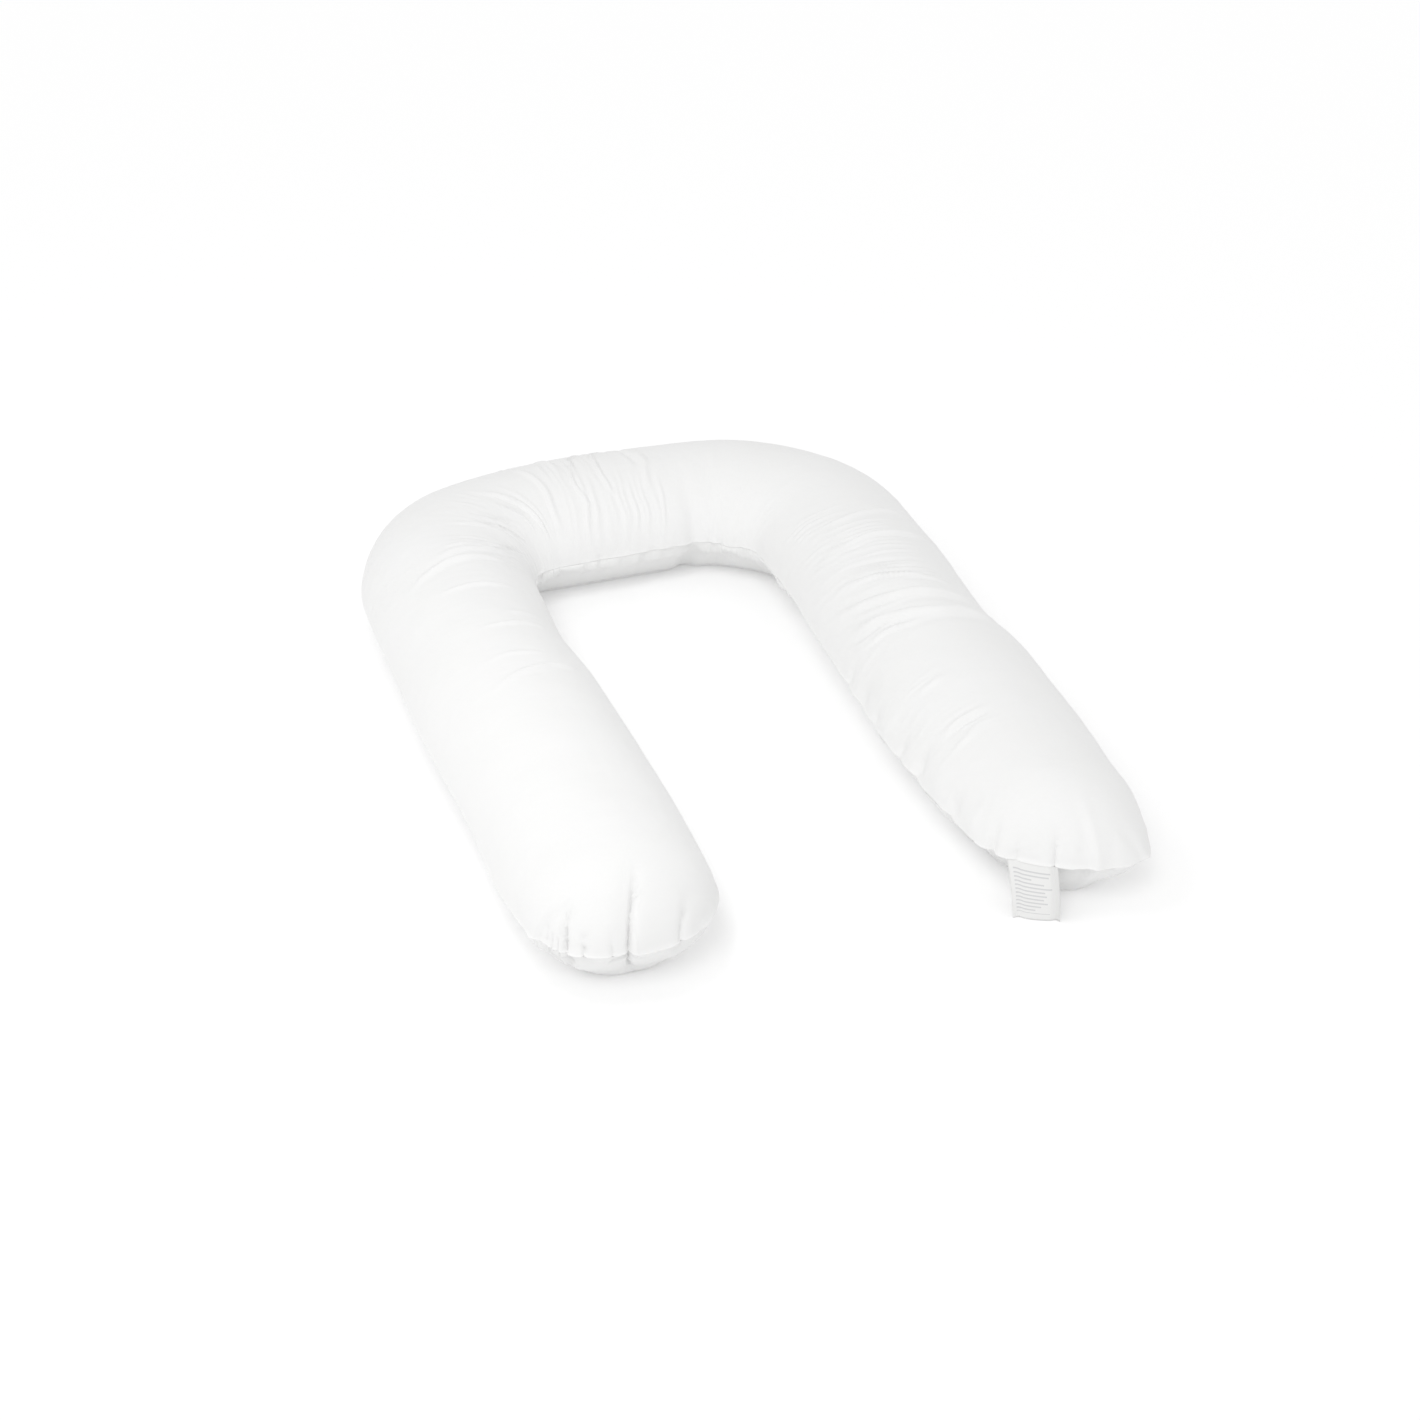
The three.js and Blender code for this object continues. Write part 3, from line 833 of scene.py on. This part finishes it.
def gathers(run, degree, across):
    """Soft gathers square to the seam, from -1 to 1."""
    side = random_curve(run + SIDES_APART * (degree > 90), *GATHER_SIDES) * np.abs(np.cos(np.radians(degree)))
    at_end = np.clip(1 - np.minimum(run, WHOLE_RUN - run) / GATHER_END_RUN, 0, 1)
    return side + random_curve(across, *GATHER_ENDS) * at_end


# %% The whole shape
LIP = 2.6
LIP_HEIGHT = 2.4
LIP_ALONG_SIDES = 0.4
LIP_UNEVEN = (0.35, 13, 9)
LIP_FULL_TO = 40
LIP_PLAIN_FROM = 120
GATHER = {True: 0.9, False: 2.6}
GATHER_REACH = {True: 16, False: 34}
GATHER_START = 5
UNDERCUT = 4.0
UNDERCUT_AT = 18
LEVEL_WITHIN = 6.0
REST_WITHIN = 12


def shaped_panel(is_top, runs, degree, moved):
    """A panel with all that the cloth does on it."""
    run = runs[:, None]
    points, across, height = panel(is_top, run, degree)
    normal = normals_of(points) * (-1 if is_top else 1)
    outward = outward_of(normal)
    from_seam = np.abs(points[..., 2] - SEAM_HEIGHT)
    to_tip = np.minimum(run, WHOLE_RUN - run)
    at_end = np.clip((LIP_PLAIN_FROM - to_tip) / (LIP_PLAIN_FROM - LIP_FULL_TO), 0, 1)
    near = np.minimum(from_seam / GATHER_START, 1) * np.exp(-from_seam / GATHER_REACH[is_top])
    lift = GATHER[is_top] * gathers(run, degree, across) * near
    lift = lift + pleats_lift(points) + dents(run, degree, is_top)
    if is_top:
        crowding = np.linalg.norm(np.gradient(points, axis=0), axis=-1) / np.gradient(runs)[:, None]
        lift = lift + top_lift(run, degree, height, crowding)
    level = np.exp(-from_seam / LEVEL_WITHIN)[..., None]
    lifted = (normal * (1 - level) + outward * level) * lift[..., None]
    uneven, *curve = LIP_UNEVEN
    out = LIP * (LIP_ALONG_SIDES + (1 - LIP_ALONG_SIDES) * at_end) * np.exp(-from_seam / LIP_HEIGHT)
    out = out * (1 + uneven * random_curve(run + across, *curve))
    if not is_top:
        drawn = from_seam / UNDERCUT_AT
        out = out - UNDERCUT * drawn * np.exp(1 - drawn)
    resting = np.clip(points[..., 2:] / REST_WITHIN, 0, 1)
    points = points + moved * resting + lifted + outward * out[..., None]
    points[..., 2] = np.maximum(points[..., 2], 0)
    return points


top_points = shaped_panel(True, ROWS, ANGLES, top_moved)
under_points = shaped_panel(False, ROWS, ANGLES[:, ::2], under_moved)
pillow = closed_body("filled_pillow", top_points, under_points)
print("pillow of", len(pillow.data.polygons), "faces, crown", round(top_points[..., 2].max(), 1), "mm high")

# %% [markdown]
# ## Measures on the cloth
# A weave has to run along the cloth and not through space, so the mesh carries a map of where each point
# lies on the flat cloth: the run along the tube, and the distance across the panel from the outer seam. The
# underside follows beside the top panel, so that nothing overlaps.

# %% Cloth map
MAP_SPAN = 2600
UNDER_MAP_AT = 450


def girth_of(points):
    """The distance across a panel from the outer seam, averaged over the rows, in mm."""
    steps = np.linalg.norm(np.diff(points, axis=1), axis=-1)
    middle = np.median(steps, axis=0)
    return np.concatenate([[0], np.cumsum(middle)])


def map_cloth(piece, top_girth, under_girth):
    """Writes the run and the girth of every corner of the mesh as its map."""
    rows, columns = len(ROWS), len(COLUMNS)
    half = len(under_girth)
    inside_run = np.repeat(ROWS[1:-1], half - 2)
    inside_girth = np.tile(under_girth[1:-1] + UNDER_MAP_AT, rows - 2)
    run = np.concatenate([np.repeat(ROWS, columns), inside_run])
    girth = np.concatenate([np.tile(top_girth, rows), inside_girth])
    corner = np.zeros(len(piece.data.loops), int)
    piece.data.loops.foreach_get("vertex_index", corner)
    run, girth = run[corner], girth[corner]
    first_under = (rows - 1) * (columns - 1) * 4
    rim = np.arange(len(corner)) >= first_under
    rim &= corner < rows * columns
    share = girth[rim] / top_girth[-1]
    girth[rim] = UNDER_MAP_AT + share * under_girth[-1]
    layer = piece.data.uv_layers.new(name="cloth")
    layer.uv.foreach_set("vector", (np.stack([run, girth], -1) / MAP_SPAN).astype(np.float32).ravel())


top_girth, under_girth = girth_of(top_points), girth_of(under_points)
map_cloth(pillow, top_girth, under_girth)
print("top panel", round(top_girth[-1]), "mm across, underside", round(under_girth[-1]), "mm")

# %% [markdown]
# ## Brushed microfibre
# The cover is woven polyester microfibre with a brushed face: white, matt, with a faint bloom at grazing
# angles. Polyester has an index of refraction near 1.54, and brushing leaves it rough. The real threads are
# about 0.15 mm apart, far too fine to show from here, so the weave is drawn at 2 mm and very low. Between
# the folds the cloth is softly crumpled: short creases across the tube, 10 to 40 mm long, come from a
# stretched noise. Blender's wave texture needs 0.31 of scale for each band.

# %% Brushed microfibre
ONE_BAND = 2 * np.pi / 20
THREAD_MM = 2.0
CRUMPLE_MM = 9.0
CRUMPLE_STRETCH = (1.0, 0.3, 1.0)
PATCH_MM = 120.0


def brushed_microfibre():
    """White polyester with a brushed face, softly crumpled across the tube."""
    material, output = new_material("brushed_microfibre")
    tree = material.node_tree
    cloth = add_node(tree, "ShaderNodeUVMap", {"uv_map": "cloth"}).outputs["UV"]
    patches = add_node(tree, "ShaderNodeTexNoise", inputs={
        "Vector": cloth, "Scale": MAP_SPAN / PATCH_MM, "Detail": 3.0,
    })
    colour = add_node(tree, "ShaderNodeMix", {"data_type": "RGBA"})
    colour.inputs["A"].default_value = linear("#ECECEC")
    colour.inputs["B"].default_value = linear("#E9E9E8")
    tree.links.new(patches.outputs["Fac"], colour.inputs["Factor"])
    weave = []
    for direction in ("X", "Y"):
        threads = add_node(tree, "ShaderNodeTexWave", {"bands_direction": direction}, {
            "Vector": cloth, "Scale": MAP_SPAN / THREAD_MM * ONE_BAND,
            "Distortion": 0.6, "Detail": 1.0,
        })
        weave.append(threads.outputs["Fac"])
    woven = add_node(tree, "ShaderNodeMath", {"operation": "MULTIPLY"})
    tree.links.new(weave[0], woven.inputs[0])
    tree.links.new(weave[1], woven.inputs[1])
    along = add_node(tree, "ShaderNodeMapping", inputs={"Vector": cloth, "Scale": CRUMPLE_STRETCH})
    crumple = add_node(tree, "ShaderNodeTexNoise", inputs={
        "Vector": along.outputs["Vector"], "Scale": MAP_SPAN / CRUMPLE_MM, "Detail": 3.0, "Roughness": 0.55,
    })
    soft = add_node(tree, "ShaderNodeBump", inputs={
        "Height": crumple.outputs["Fac"], "Distance": 0.9 * MM, "Strength": 0.6,
    })
    fine = add_node(tree, "ShaderNodeBump", inputs={
        "Height": woven.outputs["Value"], "Distance": 0.05 * MM, "Strength": 0.5,
        "Normal": soft.outputs["Normal"],
    })
    fabric = add_node(tree, "ShaderNodeBsdfPrincipled", inputs={
        "Base Color": colour.outputs["Result"], "Roughness": 0.7, "IOR": 1.54, "Specular IOR Level": 0.35,
        "Sheen Weight": 0.12, "Sheen Roughness": 0.5, "Normal": fine.outputs["Normal"],
    })
    tree.links.new(fabric.outputs["BSDF"], output.inputs["Surface"])
    return material


pillow.data.materials.append(brushed_microfibre())
print("threads drawn", THREAD_MM, "mm apart")

# %% [markdown]
# ## The care label
# A strip of white satin tape is caught in the end seam of the right arm and hangs down to the floor, its
# lower edge a little out from the pillow and its free corners slightly curled. It is a sheet half a
# millimetre thick, built as two grids with a wall round the edge. Its upper edge follows the seam, which it
# goes into and which turns a corner there, so the tape is wider along its own cloth than the 51 mm that it
# spans from side to side.

# %% Care label
LABEL_SPAN = 51
LABEL_THICKNESS = 0.5
LABEL_NEAR_MIDDLE = -36
LABEL_STAND_OUT = (13, 25)
LABEL_BOW = 4
LABEL_IN_SEAM = 1.5
LABEL_CURL = 2.5
LABEL_WAVE = 0.8
LABEL_WAVE_SPAN = (50, 70)
LABEL_WAVE_FIELD = (18, 26, 31)
LABEL_ABOVE_SEAM = 0.6
LABEL_ABOVE_FLOOR = 0.3
LABEL_CELLS = (20, 28)


def end_seam_point(across):
    """A point of the right end's seam and round its inner corner, outwards from the arm's middle."""
    seam = np.concatenate([top_points[-1], top_points[-2::-1, -1]])
    after = np.argmax(seam[:, 0] < HALF_SPAN + across)
    before, behind = seam[after - 1], seam[after]
    share = (before[0] - HALF_SPAN - across) / (before[0] - behind[0])
    return before + (behind - before) * share


def label_points():
    """The front of the label as a grid of points in mm, from the seam down."""
    over = np.linspace(0, 1, LABEL_CELLS[0] + 1)[None, :]
    down = np.linspace(0, 1, LABEL_CELLS[1] + 1)[:, None]
    top = np.array([end_seam_point(LABEL_NEAR_MIDDLE - LABEL_SPAN * share) for share in over[0]])
    near, far = LABEL_STAND_OUT
    out = (near + (far - near) * over) * down + LABEL_BOW * np.sin(np.pi * down) - LABEL_IN_SEAM
    out = out + LABEL_CURL * (2 * over - 1) ** 4 * down ** 2
    wave = random_field(over * LABEL_WAVE_SPAN[0], down * LABEL_WAVE_SPAN[1], *LABEL_WAVE_FIELD)
    out = out + LABEL_WAVE * wave * down
    z = (SEAM_HEIGHT + LABEL_ABOVE_SEAM) * (1 - down) + LABEL_ABOVE_FLOOR
    return np.stack([top[:, 0] + 0 * down, top[:, 1] - out, z + 0 * over], -1)


label_front = label_points()
label_length = np.linalg.norm(np.diff(label_front, axis=0), axis=-1).sum(0).mean()


# %% A thin closed sheet
def thin_sheet(name, front, thickness):
    """A closed sheet with its front face at the grid of points, in metres, and a map from 0 to 1."""
    rows, columns = front.shape[:2]
    back = front - normals_of(front) * thickness
    at = np.arange(2 * rows * columns).reshape(2, rows, columns)
    faces, corners = [], []
    for i in range(rows - 1):
        for j in range(columns - 1):
            ring = [(i, j), (i + 1, j), (i + 1, j + 1), (i, j + 1)]
            faces += [[at[0][r] for r in ring], [at[1][r] for r in ring[::-1]]]
    edge = [(i, 0) for i in range(rows)]
    edge += [(rows - 1, j) for j in range(1, columns)]
    edge += [(i, columns - 1) for i in range(rows - 2, -1, -1)]
    edge += [(0, j) for j in range(columns - 2, 0, -1)]
    for here, there in zip(edge, edge[1:] + edge[:1]):
        faces.append([at[0][there], at[0][here], at[1][here], at[1][there]])
    mesh = bpy.data.meshes.new(name)
    points = np.concatenate([front.reshape(-1, 3), back.reshape(-1, 3)])
    mesh.from_pydata(points * MM, [], [tuple(map(int, face)) for face in faces])
    mesh.shade_smooth()
    over, down = np.meshgrid(np.linspace(0, 1, columns), np.linspace(0, 1, rows))
    place = np.tile(np.stack([over, down], -1).reshape(-1, 2), (2, 1))
    corner = np.zeros(len(mesh.loops), int)
    mesh.loops.foreach_get("vertex_index", corner)
    mesh.uv_layers.new(name="tape").uv.foreach_set("vector", place[corner].astype(np.float32).ravel())
    piece = bpy.data.objects.new(name, mesh)
    bpy.context.scene.collection.objects.link(piece)
    return piece


label = thin_sheet("care_label_tape", label_front, -LABEL_THICKNESS)
print("label of", len(label.data.polygons), "faces")

# %% [markdown]
# ## Satin tape
# Care labels are woven from polyester in satin weave and printed in grey. The print stays generic: plain
# rules of differing length, with no lettering. A rule is where five comparisons on the tape's map agree: in
# the inked share of its row, past the margin, short of a length that chance gives to each row, and between
# the first and the last printed place down the tape. The map starts at the right edge, so the left margin
# is counted from 1. The ribs of real satin are far too fine to show, so they are drawn 6 mm apart and very
# low.

# %% Plain rules
RULE_ROWS = 15
RULE_SHARE = 0.38
RULE_MARGIN = 0.1
RULE_LENGTHS = (0.42, 0.88)
RULE_BAND = (0.12, 0.88)


def plain_rules(tree, tape):
    """Where the tape is inked: 1 on a rule and 0 beside it, from the tape's map."""
    place = add_node(tree, "ShaderNodeSeparateXYZ", inputs={"Vector": tape})
    row = add_node(tree, "ShaderNodeMath", {"operation": "MULTIPLY"}, {0: place.outputs["Y"], 1: RULE_ROWS})
    number = add_node(tree, "ShaderNodeMath", {"operation": "FLOOR"}, {0: row.outputs["Value"]})
    chance = add_node(tree, "ShaderNodeTexWhiteNoise", {"noise_dimensions": "1D"}, {
        "W": number.outputs["Value"],
    })
    length = add_node(tree, "ShaderNodeMapRange", inputs={
        "Value": chance.outputs["Value"], "To Min": RULE_LENGTHS[0], "To Max": RULE_LENGTHS[1],
    })
    in_row = add_node(tree, "ShaderNodeMath", {"operation": "FRACT"}, {0: row.outputs["Value"]})
    from_left = add_node(tree, "ShaderNodeMath", {"operation": "SUBTRACT"}, {0: 1.0, 1: place.outputs["X"]})
    tests = [
        ("LESS_THAN", in_row.outputs["Value"], RULE_SHARE),
        ("GREATER_THAN", from_left.outputs["Value"], RULE_MARGIN),
        ("LESS_THAN", from_left.outputs["Value"], length.outputs["Result"]),
        ("GREATER_THAN", place.outputs["Y"], RULE_BAND[0]),
        ("LESS_THAN", place.outputs["Y"], RULE_BAND[1]),
    ]
    inked = 1.0
    for comparison, value, limit in tests:
        test = add_node(tree, "ShaderNodeMath", {"operation": comparison}, {0: value, 1: limit})
        both = add_node(tree, "ShaderNodeMath", {"operation": "MULTIPLY"}, {
            0: inked, 1: test.outputs["Value"],
        })
        inked = both.outputs["Value"]
    return inked


# %% Satin tape
RIB_MM = 6.0


def satin_tape():
    """White satin tape, woven of polyester, with rules printed in grey."""
    material, output = new_material("satin_tape")
    tree = material.node_tree
    tape = add_node(tree, "ShaderNodeUVMap", {"uv_map": "tape"}).outputs["UV"]
    colour = add_node(tree, "ShaderNodeMix", {"data_type": "RGBA"})
    colour.inputs["A"].default_value = linear("#E4E4E3")
    colour.inputs["B"].default_value = linear("#CDCDCE")
    tree.links.new(plain_rules(tree, tape), colour.inputs["Factor"])
    ribs = add_node(tree, "ShaderNodeTexWave", {"bands_direction": "Y"}, {
        "Vector": tape, "Scale": label_length / RIB_MM * ONE_BAND,
    })
    woven = add_node(tree, "ShaderNodeBump", inputs={
        "Height": ribs.outputs["Fac"], "Distance": 0.1 * MM, "Strength": 0.4,
    })
    satin = add_node(tree, "ShaderNodeBsdfPrincipled", inputs={
        "Base Color": colour.outputs["Result"], "Roughness": 0.5, "IOR": 1.54, "Specular IOR Level": 0.35,
        "Normal": woven.outputs["Normal"],
    })
    tree.links.new(satin.outputs["BSDF"], output.inputs["Surface"])
    return material


label.data.materials.append(satin_tape())
print("label has", RULE_ROWS, "rows for plain rules")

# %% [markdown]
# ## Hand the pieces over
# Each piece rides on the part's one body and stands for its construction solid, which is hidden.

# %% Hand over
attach(pillow, "root")
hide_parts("pillow")
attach(label, "root")
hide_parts("care_label")
